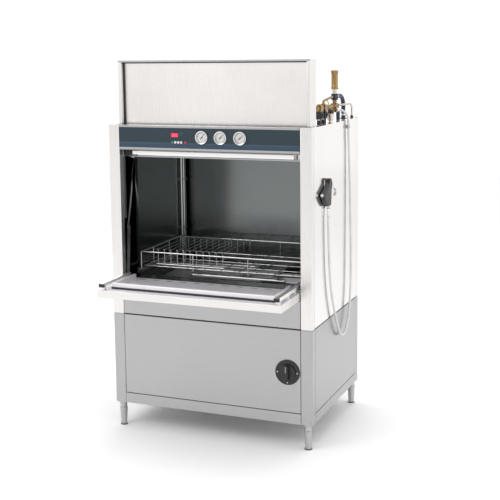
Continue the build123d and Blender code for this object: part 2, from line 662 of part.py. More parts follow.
# ---- plumbing on the top cover ------------------------------------------------------------------
def inlet_manifold():
    """Brass inlet line with two valve bodies, the hose outlet and an upright vacuum breaker."""
    x, z = MANIFOLD_X, MANIFOLD_Z
    line = rod((x, 330, z), (x, 742, z), 13)
    for y in VALVE_Y:
        line += slab((x - 20, x + 20), (y - 24, y + 24), (z - 18, z + 20))
    for y in (330, 412, 512, 648, 728):
        line += Pos(x, y, z) * (Rot(90, 0, 0) * extrude(RegularPolygon(19, 6), 8, both=True))
    line += rod((x, STRAINER_Y, z), (x, STRAINER_Y, z - 21), 14)
    line += slab((x - 16, x + 16), (BREAKER_Y - 16, BREAKER_Y + 16), (HOSE_OUTLET_Z - 16, z + 18))
    rise = [(x, VALVE_Y[1], z + 18), (x, VALVE_Y[1], 2106), (x, 640, HUB_AXIS), (x, 656, HUB_AXIS)]
    route = FilletPolyline(*rise, radius=12)
    line += sweep(Plane(origin=route @ 0, z_dir=route % 0) * Circle(8), path=route)
    riser = rod((x, BREAKER_Y, z + 18), (x, BREAKER_Y, HUB_LOW), 11)
    cap = rod((x, BREAKER_Y, 2168), (x, BREAKER_Y, 2190), 22) + rod((x, BREAKER_Y, 2190), (x, BREAKER_Y, 2272), 20.5)
    cap += rod((x, BREAKER_Y, 2272), (x, BREAKER_Y, 2290), 24)
    cap = fillet(cap.edges().filter_by(GeomType.CIRCLE).group_by(Axis.Z)[-1], 5)
    return [line, riser, cap]


def solenoid_coils():
    """Resin coils under the valve bodies, their feet on the cover, and the strainer's head."""
    x, z = MANIFOLD_X, MANIFOLD_Z
    pieces = [rod((x, STRAINER_Y, 2018), (x, STRAINER_Y, z - 21), 18)]
    for y in VALVE_Y:
        coil = slab((x - 20, x + 20), (y - 20, y + 20), (1997, z - 18))
        pieces.append(fillet(coil.edges().filter_by(Axis.Z), 7))
        pieces.append(slab((x - 12, x + 12), (y - 12, y + 12), (BODY_TOP - 2, 1997)))
    return pieces


def supply_tube():
    """Steel supply tube down through the rear corner, the strainer bowl and the breaker's neck."""
    x, z = MANIFOLD_X, MANIFOLD_Z
    corner = (x + 37, 955)
    route = FilletPolyline((x, 742, z), (x, 758, z), (*corner, z), (*corner, BODY_TOP - 2), radius=30)
    tube = sweep(Plane(origin=route @ 0, z_dir=route % 0) * Circle(7), path=route)
    bowl = rod((x, STRAINER_Y, 1972), (x, STRAINER_Y, 2018), 20.5)
    bowl = fillet(bowl.edges().filter_by(GeomType.CIRCLE).group_by(Axis.Z)[0], 6)
    neck = rod((x, BREAKER_Y, HUB_HIGH), (x, BREAKER_Y, 2168), 15)
    return [tube, bowl, neck]


def breaker_hose():
    """Breaker's tee with its hose arching back down through the cover, and a pressure switch."""
    x = MANIFOLD_X
    hub = rod((x, BREAKER_Y, HUB_LOW), (x, BREAKER_Y, HUB_HIGH), 22)
    hub += rod((x, 656, HUB_AXIS), (x, 716, HUB_AXIS), 15)
    route = FilletPolyline((x, 716, HUB_AXIS), (x, 884, HUB_AXIS), (x, 884, BODY_TOP - 2), radius=80)
    arch = sweep(Plane(origin=route @ 0, z_dir=route % 0) * Circle(14), path=route)
    switch = rod((x, 765, BODY_TOP - 2), (x, 765, 2024), 12.5)
    switch += rod((x, 765, 2024), (x, 765, MANIFOLD_Z - 7.1), 5)
    return [hub + arch, switch]


# ---- spray gun on the right side ----------------------------------------------------------------
def hose_fixings():
    """Hook plate behind the gun and the hose clip, both on the right side panel."""
    hook = slab((HALF, HALF + 3), (240, 290), (1575, 1638))
    arm = slab((HALF + 3, GUN_X - GUN_HALF), (250, 280), (1596, 1620))
    clip = slab((HALF, HALF + 3), (CLIP_Y - 14, CLIP_Y + 14), (1916, 1940))
    saddle = ring((688, CLIP_Y, 1918), HOSE_RADIUS + 3, HOSE_RADIUS + 0.7, 20, (0, 0, 1))
    foot = slab((HALF + 3, 688 - HOSE_RADIUS - 1.5), (CLIP_Y - 7, CLIP_Y + 7), (1918, 1938))
    return [hook + arm, clip + foot + saddle]


def spray_gun():
    """Hand gun hanging upright: a flat body bent at its middle, with the nozzle towards the front."""
    outline = [
        (226, 1478), (284, 1478), (294, 1522), (297, 1566), (310, 1602), (307, 1628), (292, 1644),
        (264, 1644), (258, 1618), (208, 1588), (152, 1563), (150, 1543), (184, 1508),
    ]
    side = Plane(origin=(GUN_X - GUN_HALF, 0, 0), x_dir=(0, 1, 0), z_dir=(1, 0, 0))
    body = extrude(side * make_face(Polyline(*outline, close=True)), 2 * GUN_HALF)
    body = fillet(body.edges().filter_by(Axis.X), 6)
    body = fillet(body.faces().sort_by(Axis.X)[-1].edges(), 4)
    swivel = rod((GUN_X, GUN_Y, 1462), (GUN_X, GUN_Y, 1478), 11)
    nozzle = rod((GUN_X, 168, 1552), (GUN_X, 136, 1557), 9)
    y, z = TRIGGER_PIVOT
    slot = slab((GUN_X - 9, GUN_X + 9), (284, 330), (1582, 1628))
    ears = rod((GUN_X - 13, y, z), (GUN_X + 13, y, z), 9)
    pin_bore = rod((GUN_X - 20, y, z), (GUN_X + 20, y, z), 2.5 + FIT)
    return [body + swivel + nozzle + ears - slot - pin_bore]


def gun_trigger():
    """Hooked lever on a cross pin; it closes down towards the grip."""
    y, z = TRIGGER_PIVOT
    eye = rod((GUN_X - 8, y, z), (GUN_X + 8, y, z), 6)
    pin = rod((GUN_X - 14, y, z), (GUN_X + 14, y, z), 2.5)
    plane = Plane(origin=(GUN_X - 8, 0, 0), x_dir=(0, 1, 0), z_dir=(1, 0, 0))
    outline = [
        (304, 1613), (330, 1606), (372, 1590), (408, 1567), (419, 1545), (404, 1521),
        (391, 1525), (402, 1545), (395, 1557), (362, 1577), (326, 1593), (304, 1602),
    ]
    lever = extrude(plane * make_face(Polyline(*outline, close=True)), 16)
    return [eye + pin + lever]


HOSE_POINTS = [
    (616, 690, 2037), (640, 690, 2037), (662, 691, 2028), (679, 694, 2011), (688, 699, 1988), (688, 706, 1950),
    (688, 706, 1900), (689, 718, 1770), (691, 727, 1600), (694, 733, 1400), (696, 737, 1200), (698, 739, 1000),
    (698, 728, 830), (698, 690, 690), (698, 612, 590), (698, 520, 590), (697, 440, 680), (696, 372, 800),
    (694, 316, 930), (693, 284, 1080), (692, 270, 1240), (692, 265, 1400), (692, 265, 1462),
]


def hose_radii(points):
    """Largest tangent arc at each corner: 0.45 of the shorter run over the tangent of half the turn."""
    radii = []
    for before, here, after in zip(points, points[1:], points[2:]):
        entering, leaving = Vector(*here) - Vector(*before), Vector(*after) - Vector(*here)
        half_turn = math.radians(entering.get_angle(leaving)) / 2
        radii.append(0.45 * min(entering.length, leaving.length) / math.tan(half_turn))
    return radii


def spray_hose():
    radii = hose_radii(HOSE_POINTS)
    route = FilletPolyline(*HOSE_POINTS, radius=radii)
    tube = sweep(Plane(origin=route @ 0, z_dir=route % 0) * Circle(HOSE_RADIUS), path=route)
    section = math.pi * HOSE_RADIUS**2
    print("hose radii", [round(radius) for radius in radii])
    print("hose length", round(route.length), "volume over section", round(tube.volume / section))
    return [tube]


# ---- assembly -----------------------------------------------------------------------------------
NODES = {
    "base_frame": base_frame(),
    "base_front_panel": base_front_panel(),
    "base_cladding": base_cladding(),
    "feet": feet(),
    "front_posts": front_posts(),
    "side_panels": side_panels(),
    "rear_panel": rear_panel(),
    "top_cover": top_cover(),
    "front_apron": front_apron(),
    "control_box": control_box(),
    "control_panel": control_panel(),
    "display_window": display_window(),
    "gauge_cases": gauge_cases(),
    "gauge_lenses": gauge_lenses(),
    "wash_gauge_needle": gauge_needle(GAUGE_X[0], 40),
    "rinse_gauge_needle": gauge_needle(GAUGE_X[1], 45),
    "pressure_gauge_needle": gauge_needle(GAUGE_X[2], 50),
    "start_button": push_button(BUTTON_X[0]),
    "short_cycle_button": push_button(BUTTON_X[1]),
    "medium_cycle_button": push_button(BUTTON_X[2]),
    "long_cycle_button": push_button(BUTTON_X[3]),
    "stop_button": push_button(BUTTON_X[4]),
    "main_switch_plate": main_switch_plate(),
    "main_switch_knob": main_switch_knob(),
    "wash_chamber": wash_chamber(),
    "wash_tank": wash_tank(),
    "tank_filters": tank_filters(),
    "scrap_basket": scrap_basket(),
    "tank_heater": tank_heater(),
    "door_guides": door_guides(),
    "upper_door_panel": upper_door_panel(),
    "upper_door_stiles": upper_door_stiles(),
    "upper_door_handle": upper_door_handle(),
    "lower_door_skin": lower_door_skin(),
    "lower_door_liner": lower_door_liner(),
    "lower_door_rails": lower_door_rails(),
    "lower_door_arms": lower_door_arms(),
    "link_rods": link_rods(),
    "balance_shaft": balance_shaft(),
    "balance_cables": balance_cables(),
    "rack_runners": rack_runners(),
    "wash_rack": wash_rack(),
    "tray_insert": tray_insert(),
    "lower_arm_left": spray_arm(ARM_CENTRES[0], LOWER_ARM_Z, 1),
    "lower_arm_right": spray_arm(ARM_CENTRES[1], LOWER_ARM_Z, 1),
    "upper_arm_left": spray_arm(ARM_CENTRES[0], UPPER_ARM_Z, -1),
    "upper_arm_right": spray_arm(ARM_CENTRES[1], UPPER_ARM_Z, -1),
    "wash_pipework": wash_pipework(),
    "wash_pump": wash_pump(),
    "pump_impeller": pump_impeller(),
    "rinse_boiler": rinse_boiler(),
    "electrical_box": electrical_box(),
    "inlet_manifold": inlet_manifold(),
    "solenoid_coils": solenoid_coils(),
    "supply_tube": supply_tube(),
    "breaker_hose": breaker_hose(),
    "hose_fixings": hose_fixings(),
    "spray_gun": spray_gun(),
    "gun_trigger": gun_trigger(),
    "spray_hose": spray_hose(),
}


def solids_of(pieces):
    return [solid for piece in pieces for solid in piece.solids()]


footprint = Compound(children=[solid for name in NODES if name != "spray_hose" for solid in solids_of(NODES[name])])
box = footprint.bounding_box()
to_origin = Pos(-(box.min.X + box.max.X) / 2, -(box.min.Y + box.max.Y) / 2, 0)
print("origin in the cabinet datum", round((box.min.X + box.max.X) / 2, 3), round((box.min.Y + box.max.Y) / 2, 3))

os.makedirs("parts", exist_ok=True)
for name, pieces in NODES.items():
    moved = [to_origin * solid for solid in solids_of(pieces)]
    shape = moved[0] if len(moved) == 1 else Compound(children=moved)
    export_step(shape, f"parts/{name}.step")
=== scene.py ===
import math

import bmesh
import bpy
from mathutils import Matrix, Vector


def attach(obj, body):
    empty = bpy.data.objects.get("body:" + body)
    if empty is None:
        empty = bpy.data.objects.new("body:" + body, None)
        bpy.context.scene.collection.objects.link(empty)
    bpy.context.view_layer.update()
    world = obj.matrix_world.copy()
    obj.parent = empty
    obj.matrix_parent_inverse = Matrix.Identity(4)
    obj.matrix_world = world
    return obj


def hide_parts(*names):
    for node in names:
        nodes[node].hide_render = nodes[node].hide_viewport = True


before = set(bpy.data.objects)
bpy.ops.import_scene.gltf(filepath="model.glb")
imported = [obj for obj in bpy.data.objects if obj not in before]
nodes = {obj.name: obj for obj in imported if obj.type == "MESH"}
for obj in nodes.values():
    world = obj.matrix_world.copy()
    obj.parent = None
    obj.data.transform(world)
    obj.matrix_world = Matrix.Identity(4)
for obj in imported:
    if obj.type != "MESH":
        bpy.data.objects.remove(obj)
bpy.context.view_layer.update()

# Lengths below are millimetres in the cabinet datum: X from the centre plane, Y back from the front
# face of the posts, Z up from the floor. DATUM is that datum's place in the part's own frame.
DATUM = Vector((-0.0155, -0.335, 0.0))
MM = 0.001
ALONG_Y, ALONG_Z = (0, 1, 0), (0, 0, 1)

HALF = 675                  # half the cabinet's width
DEPTH = 987
BODY_TOP = 1970
FASCIA_FOOT, FASCIA_TOP = 1832, 1957
GAUGE_X = (-29, 95, 223)
GAUGE_Z = 1902
GAUGE_FRONT = -10           # where the rolled rims start
BUTTON_X = {"start": -228, "short": -208, "medium": -188, "long": -168, "stop": -138}
BUTTON_Z = 1869
SWITCH = (516, 483)         # X, Z of the main switch's axis
SWITCH_FRONT = -6           # face of its plate
HINGE = (67, 960)           # Y, Z of the shelf's hinge
KNUCKLE = (97, 1304)        # Y, Z of the joint between its arms and the link rods
ARM_CENTRES = (-287, 287)
ARM_Y = 480
LOWER_ARM_Z, UPPER_ARM_Z = 962, 1752
FOOT_X = 637.5
LINE_X, LINE_Z = 600, 2063  # axis of the inlet line
VALVE_Y = (370, 455)
STRAINER_Y = 599
BREAKER_Y = 690
ARCH_Y = 884                # where the arched hose enters the top cover
GUN_X = 692


def at(x, y, z):
    return DATUM + Vector((x, y, z)) * MM


# ---- camera, floor and light --------------------------------------------------------------------
CAMERA_PLACE = (2616.7, -5850.8, 2446.2)
CAMERA_AZIMUTH, CAMERA_DIP, CAMERA_ROLL = 22.574, 8.251, -0.745
CAMERA_LENS = 76.08
FLOOR_REACH = 14.0


def make_camera():
    data = bpy.data.cameras.new("camera")
    data.sensor_width = 36
    data.lens = CAMERA_LENS
    data.shift_x, data.shift_y = 0.03, -0.10
    data.clip_end = 100
    camera = bpy.data.objects.new("camera", data)
    bpy.context.scene.collection.objects.link(camera)
    azimuth, dip, roll = (math.radians(v) for v in (CAMERA_AZIMUTH, CAMERA_DIP, CAMERA_ROLL))
    forward = Vector((-math.sin(azimuth) * math.cos(dip), math.cos(azimuth) * math.cos(dip),
                      -math.sin(dip)))
    level = Vector((math.cos(azimuth), math.sin(azimuth), 0))
    up = level.cross(forward)
    right = math.cos(roll) * level + math.sin(roll) * up
    top = -math.sin(roll) * level + math.cos(roll) * up
    turn = Matrix((right, top, -forward)).transposed().to_4x4()
    camera.matrix_world = Matrix.Translation(at(*CAMERA_PLACE)) @ turn
    bpy.context.scene.camera = camera


def area_light(name, place, target, size, power, colour=(1, 1, 1)):
    data = bpy.data.lights.new(name, "AREA")
    data.shape = "RECTANGLE"
    data.size, data.size_y = size
    data.energy = power
    data.color = colour
    light = bpy.data.objects.new(name, data)
    light.location = place
    light.rotation_euler = (Vector(target) - Vector(place)).to_track_quat("-Z", "Y").to_euler()
    bpy.context.scene.collection.objects.link(light)


def make_stage():
    """White surroundings, slightly greyer in front, a pale floor and four soft lights."""
    world = bpy.data.worlds.new("studio")
    world.use_nodes = True
    bpy.context.scene.world = world
    tree = world.node_tree
    back = tree.nodes["Background"]
    coords = tree.nodes.new("ShaderNodeTexCoord")
    split = tree.nodes.new("ShaderNodeSeparateXYZ")
    ramp = tree.nodes.new("ShaderNodeValToRGB")
    shift = tree.nodes.new("ShaderNodeMath")
    shift.operation = "MULTIPLY_ADD"
    shift.inputs[1].default_value = 0.5
    shift.inputs[2].default_value = 0.5
    tree.links.new(coords.outputs["Generated"], split.inputs[0])
    tree.links.new(split.outputs["Y"], shift.inputs[0])
    tree.links.new(shift.outputs[0], ramp.inputs[0])
    tree.links.new(ramp.outputs[0], back.inputs["Color"])
    ramp.color_ramp.elements[0].position = 0.30
    ramp.color_ramp.elements[0].color = (0.84, 0.84, 0.85, 1)
    ramp.color_ramp.elements[1].position = 0.62
    ramp.color_ramp.elements[1].color = (1.0, 1.0, 1.0, 1)
    back.inputs["Strength"].default_value = 1.1
    bpy.context.scene.view_settings.view_transform = "Standard"

    mesh = bpy.data.meshes.new("floor")
    signs = ((-1, -1), (1, -1), (1, 1), (-1, 1))
    corners = [(x * FLOOR_REACH, y * FLOOR_REACH, 0) for x, y in signs]
    mesh.from_pydata(corners, [], [(0, 1, 2, 3)])
    floor = bpy.data.objects.new("floor", mesh)
    bpy.context.scene.collection.objects.link(floor)
    pale, _, shader = new_material("pale_floor")
    shader.inputs["Base Color"].default_value = (0.98, 0.98, 0.98, 1)
    shader.inputs["Roughness"].default_value = 0.75
    mesh.materials.append(pale)

    area_light("key", (-2.8, -4.2, 4.6), (0, 0, 1.2), (2.6, 2.6), 70, (1.0, 0.985, 0.97))
    area_light("side", (5.0, -0.4, 2.6), (0.6, 0, 1.2), (2.4, 3.0), 18, (1.0, 0.975, 0.95))
    area_light("top", (0.2, 0.6, 5.0), (0, 0, 1.5), (3.0, 3.0), 40)
    area_light("back", (-1.5, 5.0, 3.2), (0, 0, 1.2), (3.0, 3.0), 15)


# ---- material kit -------------------------------------------------------------------------------
def new_material(name):
    mat = bpy.data.materials.new(name)
    mat.use_nodes = True
    return mat, mat.node_tree, mat.node_tree.nodes["Principled BSDF"]


def noise(tree, scale, detail=3.0, stretch=(1, 1, 1), roughness=0.5):
    """Noise in object space; stretch multiplies the frequency along each axis."""
    coords = tree.nodes.new("ShaderNodeTexCoord")
    mapping = tree.nodes.new("ShaderNodeMapping")
    texture = tree.nodes.new("ShaderNodeTexNoise")
    mapping.inputs["Scale"].default_value = stretch
    texture.inputs["Scale"].default_value = scale
    texture.inputs["Detail"].default_value = detail
    texture.inputs["Roughness"].default_value = roughness
    tree.links.new(coords.outputs["Object"], mapping.inputs["Vector"])
    tree.links.new(mapping.outputs["Vector"], texture.inputs["Vector"])
    return texture.outputs["Fac"]


def span(tree, value, low, high, start=0.3, end=0.7):
    """Maps a texture value to a range."""
    remap = tree.nodes.new("ShaderNodeMapRange")
    remap.inputs["From Min"].default_value = start
    remap.inputs["From Max"].default_value = end
    remap.inputs["To Min"].default_value = low
    remap.inputs["To Max"].default_value = high
    tree.links.new(value, remap.inputs["Value"])
    return remap.outputs["Result"]


def tint(tree, value, dark, light, start=0.3, end=0.7):
    """Maps a texture value to a colour between two."""
    ramp = tree.nodes.new("ShaderNodeValToRGB")
    ramp.color_ramp.elements[0].position = start
    ramp.color_ramp.elements[0].color = (*dark, 1)
    ramp.color_ramp.elements[1].position = end
    ramp.color_ramp.elements[1].color = (*light, 1)
    tree.links.new(value, ramp.inputs["Fac"])
    return ramp.outputs["Color"]


def add_bump(tree, shader, value, strength, distance):
    bump = tree.nodes.new("ShaderNodeBump")
    bump.inputs["Strength"].default_value = strength
    bump.inputs["Distance"].default_value = distance
    tree.links.new(value, bump.inputs["Height"])
    tree.links.new(bump.outputs["Normal"], shader.inputs["Normal"])


def steel(name, colour, rough, grain, metallic=1.0, grain_depth=0.12):
    """Brushed stainless: fine scratches along one axis over soft handling marks."""
    mat, tree, shader = new_material(name)
    stretch = {"x": (6, 700, 700), "y": (700, 6, 700), "z": (700, 700, 6)}[grain]
    scratches = noise(tree, 1.0, 4.0, stretch)
    cloud = noise(tree, 2.3, 4.0)
    mixed = tree.nodes.new("ShaderNodeMath")
    mixed.operation = "MULTIPLY_ADD"
    mixed.inputs[1].default_value = 0.55
    tree.links.new(scratches, mixed.inputs[0])
    half = tree.nodes.new("ShaderNodeMath")
    half.operation = "MULTIPLY"
    half.inputs[1].default_value = 0.45
    tree.links.new(cloud, half.inputs[0])
    tree.links.new(half.outputs[0], mixed.inputs[2])
    dark = [c * 0.93 for c in colour]
    light = [min(1.0, c * 1.04) for c in colour]
    tree.links.new(tint(tree, mixed.outputs[0], dark, light), shader.inputs["Base Color"])
    uneven = span(tree, mixed.outputs[0], rough * 0.8, rough * 1.25)
    tree.links.new(uneven, shader.inputs["Roughness"])
    shader.inputs["Metallic"].default_value = metallic
    add_bump(tree, shader, scratches, grain_depth, 0.0002)
    return mat


def polished(name, colour, rough):
    """Plated or turned metal with faint handling marks."""
    mat, tree, shader = new_material(name)
    marks = noise(tree, 60.0, 3.0)
    dark = [c * 0.88 for c in colour]
    tree.links.new(tint(tree, marks, dark, colour), shader.inputs["Base Color"])
    tree.links.new(span(tree, marks, rough * 0.7, rough * 1.5), shader.inputs["Roughness"])
    shader.inputs["Metallic"].default_value = 1.0
    add_bump(tree, shader, marks, 0.05, 0.0003)
    return mat


def moulded(name, colour, rough, texture_scale=900.0, bump=0.12):
    """Plastic or rubber with a fine moulded grain and a little dust in its tone."""
    mat, tree, shader = new_material(name)
    grain = noise(tree, texture_scale, 2.0)
    patches = noise(tree, 12.0, 4.0)
    dark = [c * 0.9 for c in colour]
    light = [min(1.0, c * 1.12 + 0.004) for c in colour]
    tree.links.new(tint(tree, patches, dark, light), shader.inputs["Base Color"])
    tree.links.new(span(tree, patches, rough * 0.88, rough * 1.12), shader.inputs["Roughness"])
    add_bump(tree, shader, grain, bump, 0.0003)
    return mat


def fascia_with_painted_sheen():
    """Satin blue paint, darker above, with a painted sheen: a lighter band along the foot of the
    panel stands in for light caught by its bent foot strip.
    """
    mat, tree, shader = new_material("fascia_blue_painted_sheen")
    coords = tree.nodes.new("ShaderNodeTexCoord")
    split = tree.nodes.new("ShaderNodeSeparateXYZ")
    tree.links.new(coords.outputs["Object"], split.inputs[0])
    height = span(tree, split.outputs["Z"], 0.0, 1.0, FASCIA_FOOT * MM, FASCIA_TOP * MM)
    ramp = tree.nodes.new("ShaderNodeValToRGB")
    stops = ramp.color_ramp.elements
    stops[0].position, stops[0].color = 0.0, (0.018, 0.044, 0.075, 1)
    stops[1].position, stops[1].color = 1.0, (0.009, 0.026, 0.039, 1)
    # painted sheen: lighter stops along the foot of the panel, brightest near the top of the band
    for place, colour in ((0.19, (0.020, 0.050, 0.085, 1)), (0.25, (0.035, 0.070, 0.105, 1)),
                          (0.28, (0.009, 0.026, 0.037, 1))):
        stop = stops.new(place)
        stop.color = colour
    tree.links.new(height, ramp.inputs["Fac"])
    tree.links.new(ramp.outputs["Color"], shader.inputs["Base Color"])
    peel = noise(tree, 500.0, 2.0)
    tree.links.new(span(tree, noise(tree, 5.0), 0.30, 0.42), shader.inputs["Roughness"])
    add_bump(tree, shader, peel, 0.08, 0.0002)
    return mat


def glow(name, colour, strength):
    """Lit window or lamp."""
    mat, tree, shader = new_material(name)
    flicker = noise(tree, 160.0, 1.0)
    dark = [c * 0.75 for c in colour]
    tree.links.new(tint(tree, flicker, dark, colour), shader.inputs["Base Color"])
    shader.inputs["Roughness"].default_value = 0.25
    shader.inputs["Emission Color"].default_value = (*colour, 1)
    shader.inputs["Emission Strength"].default_value = strength
    return mat


def glass(name):
    mat, tree, shader = new_material(name)
    shader.inputs["Base Color"].default_value = (0.96, 0.98, 1.0, 1)
    tree.links.new(span(tree, noise(tree, 40.0), 0.02, 0.06), shader.inputs["Roughness"])
    shader.inputs["Transmission Weight"].default_value = 1.0
    shader.inputs["IOR"].default_value = 1.15
    shader.inputs["Alpha"].default_value = 0.25
    return mat


MATERIALS = {
    "cabinet": steel("cabinet_steel", (0.80, 0.78, 0.76), 0.30, "z", grain_depth=0.06),
    "panel": steel("panel_steel", (0.86, 0.83, 0.805), 0.26, "z", grain_depth=0.03),
    "side": steel("side_steel", (0.86, 0.84, 0.82), 0.15, "z", grain_depth=0.05),
    "base": steel("base_steel", (0.45, 0.45, 0.455), 0.32, "x"),
    "bright": steel("bright_steel", (0.93, 0.915, 0.90), 0.35, "x"),
    # painted shade: the chamber's stainless is darkened to stand in for the shade inside the wash
    # chamber
    "chamber": steel("chamber_steel", (0.19, 0.203, 0.20), 0.18, "z", grain_depth=0.05),
    "tray": steel("tray_steel", (0.86, 0.84, 0.87), 0.5, "x", metallic=0.6),
    "bracket": steel("bracket_steel", (0.50, 0.50, 0.495), 0.34, "z"),
    "arm": steel("arm_steel", (0.56, 0.56, 0.555), 0.28, "x"),
    "wire": polished("wire_steel", (0.70, 0.70, 0.70), 0.16),
    "chrome": polished("chrome", (0.82, 0.82, 0.82), 0.07),
    "warm_chrome": polished("warm_chrome", (0.62, 0.56, 0.51), 0.12),
    "brass": polished("brass", (0.36, 0.235, 0.10), 0.28),
    "heater": steel("heater_sheath", (0.24, 0.22, 0.20), 0.45, "x"),
    "blue": fascia_with_painted_sheen(),
    "dial": moulded("dial_white", (0.64, 0.63, 0.60), 0.5, bump=0.03),
    "ink": moulded("dial_ink", (0.02, 0.02, 0.022), 0.5, bump=0.03),
    "glass": glass("gauge_glass"),
    "red": glow("display_red", (0.70, 0.012, 0.07), 0.85),
    "digit": glow("display_digit", (1.0, 0.10, 0.12), 2.2),
    "green_lamp": glow("lamp_green", (0.01, 0.22, 0.10), 0.25),
    "green": moulded("button_green", (0.01, 0.26, 0.13), 0.35, bump=0.04),
    "white": moulded("button_white", (0.85, 0.85, 0.85), 0.35, bump=0.04),
    "stop": moulded("button_red", (0.62, 0.015, 0.12), 0.35, bump=0.04),
    "black": moulded("black_plastic", (0.012, 0.012, 0.014), 0.42),
    # painted highlight: grey for the strip on the switch handle
    "grey_painted_highlight": moulded("grey_painted_highlight", (0.30, 0.30, 0.31), 0.45, bump=0.04),
    "coil": moulded("coil_resin", (0.014, 0.014, 0.018), 0.38),
    "rubber": moulded("rubber_black", (0.016, 0.016, 0.016), 0.65, 500.0),
    "dark_hose": moulded("hose_dark", (0.012, 0.022, 0.045), 0.42, 500.0),
    "grey_hose": moulded("hose_grey", (0.66, 0.655, 0.645), 0.40, 420.0, 0.08),
    "enamel": moulded("pump_enamel", (0.06, 0.09, 0.14), 0.35, 300.0, 0.10),
}

NODE_LOOKS = {
    "base_frame": "base", "base_front_panel": "base", "base_cladding": "base", "feet": "bracket",
    "front_posts": "cabinet", "side_panels": "side", "rear_panel": "panel", "top_cover": "panel",
    "front_apron": "base", "control_box": "base", "control_panel": "blue", "display_window": "red",
    "gauge_cases": "chrome", "gauge_lenses": "glass", "wash_gauge_needle": "ink",
    "rinse_gauge_needle": "ink", "pressure_gauge_needle": "ink", "start_button": "green",
    "short_cycle_button": "white", "medium_cycle_button": "white", "long_cycle_button": "white",
    "stop_button": "stop", "main_switch_plate": "black", "main_switch_knob": "black",
    "wash_chamber": "chamber", "wash_tank": "chamber", "tank_filters": "tray",
    "scrap_basket": "tray", "tank_heater": "heater", "door_guides": "bracket",
    "upper_door_panel": "panel", "upper_door_stiles": "cabinet", "upper_door_handle": "bright",
    "lower_door_skin": "cabinet",
    "lower_door_liner": "tray", "lower_door_rails": "bright", "lower_door_arms": "bracket",
    "link_rods": "chrome", "balance_shaft": "bracket", "balance_cables": "wire",
    "rack_runners": "bracket", "wash_rack": "wire", "tray_insert": "wire", "lower_arm_left": "arm",
    "lower_arm_right": "arm", "upper_arm_left": "arm", "upper_arm_right": "arm",
    "wash_pipework": "arm", "wash_pump": "enamel", "pump_impeller": "brass", "rinse_boiler": "arm",
    "electrical_box": "panel", "inlet_manifold": "brass", "solenoid_coils": "coil",
    "supply_tube": "warm_chrome", "breaker_hose": "dark_hose", "hose_fixings": "bracket",
    "spray_gun": "black", "gun_trigger": "chrome", "spray_hose": "grey_hose",
}

SOFT_EDGES = {
    "base_frame": 1.5, "base_front_panel": 1.2, "base_cladding": 1.2, "front_posts": 1.0,
    "front_apron": 1.5, "control_box": 0.8, "upper_door_panel": 1.5, "upper_door_stiles": 0.9,
    "lower_door_skin": 0.9, "lower_door_liner": 0.8, "top_cover": 0.6, "main_switch_knob": 2.0,
    "electrical_box": 0.9, "inlet_manifold": 1.2, "solenoid_coils": 1.2, "gauge_cases": 1.2,
}


def dress_nodes():
    """Gives every CAD node its material, and rounds the folded edges of the sheet-metal ones."""
    for name, look in NODE_LOOKS.items():
        slots = nodes[name].material_slots
        if not slots:
            nodes[name].data.materials.append(MATERIALS[look])
        for entry in slots:
            entry.material = MATERIALS[look]
    for name, width in SOFT_EDGES.items():
        weld = nodes[name].modifiers.new("weld", "WELD")
        weld.merge_threshold = 0.00002
        soften(nodes[name], width)


def soften(obj, width, angle=35, segments=2):
    bevel = obj.modifiers.new("soft_edges", "BEVEL")
    bevel.width = width * MM
    bevel.segments = segments
    bevel.limit_method = "ANGLE"
    bevel.angle_limit = math.radians(angle)
    bevel.harden_normals = True


# ---- mesh kit -----------------------------------------------------------------------------------
BOX_FACES = ((0, 1, 3, 2), (4, 6, 7, 5), (0, 4, 5, 1), (2, 3, 7, 6), (0, 2, 6, 4), (1, 5, 7, 3))


def add_box(bm, x, y, z, index=0):
    corners = [bm.verts.new(at(a, b, c)) for a in x for b in y for c in z]
    for ring in BOX_FACES:
        bm.faces.new([corners[i] for i in ring]).material_index = index


def frame_along(direction):
    """Two unit vectors across a direction."""
    direction = direction.normalized()
    helper = Vector((0, 0, 1)) if abs(direction.z) < 0.9 else Vector((0, 1, 0))
    side = direction.cross(helper).normalized()
    return side, direction.cross(side).normalized()


def add_circle(bm, centre, side, up, radius, segments):
    angles = [2 * math.pi * step / segments for step in range(segments)]
    rim = [centre + (side * math.cos(angle) + up * math.sin(angle)) * radius for angle in angles]
    return [bm.verts.new(at(*point)) for point in rim]


def bridge(bm, loops, index=0, smooth=True):
    """Joins each loop of vertices to the next with a band of quads."""
    for low, high in zip(loops, loops[1:]):
        for step, _ in enumerate(low):
            after = (step + 1) % len(low)
            face = bm.faces.new((low[step], low[after], high[after], high[step]))
            face.material_index = index
            face.smooth = smooth


def add_turned(bm, start, direction, profile, segments=32, index=0):
    """Solid of revolution: profile holds (distance along, radius) pairs in millimetres."""
    start, direction = Vector(start), Vector(direction).normalized()
    side, up = frame_along(direction)
    rings = [add_circle(bm, start + direction * along, side, up, radius, segments)
             for along, radius in profile]
    bridge(bm, rings, index, segments > 8)
    bm.faces.new(rings[0][::-1]).material_index = index
    bm.faces.new(rings[-1]).material_index = index


def add_ring(bm, start, direction, outer, inner, length, segments=40, index=0):
    """Flat-ended tube."""
    start, direction = Vector(start), Vector(direction).normalized()
    side, up = frame_along(direction)
    section = ((0, inner), (0, outer), (length, outer), (length, inner))
    loops = [add_circle(bm, start + direction * along, side, up, radius, segments)
             for along, radius in section]
    bridge(bm, loops + loops[:1], index)


def piece(name, body, looks, build, edge=0.0, stands_for=()):
    """Builds one mesh object with build(bm), gives it its materials and lets it ride on a body."""
    bm = bmesh.new()
    build(bm)
    bmesh.ops.recalc_face_normals(bm, faces=bm.faces)
    mesh = bpy.data.meshes.new(name)
    bm.to_mesh(mesh)
    bm.free()
    for look in looks:
        mesh.materials.append(MATERIALS[look])
    mesh.set_sharp_from_angle(angle=math.radians(40))
    obj = bpy.data.objects.new(name, mesh)
    bpy.context.scene.collection.objects.link(obj)
    if edge:
        soften(obj, edge)
    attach(obj, body)
    if stands_for:
        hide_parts(*stands_for)
    return obj


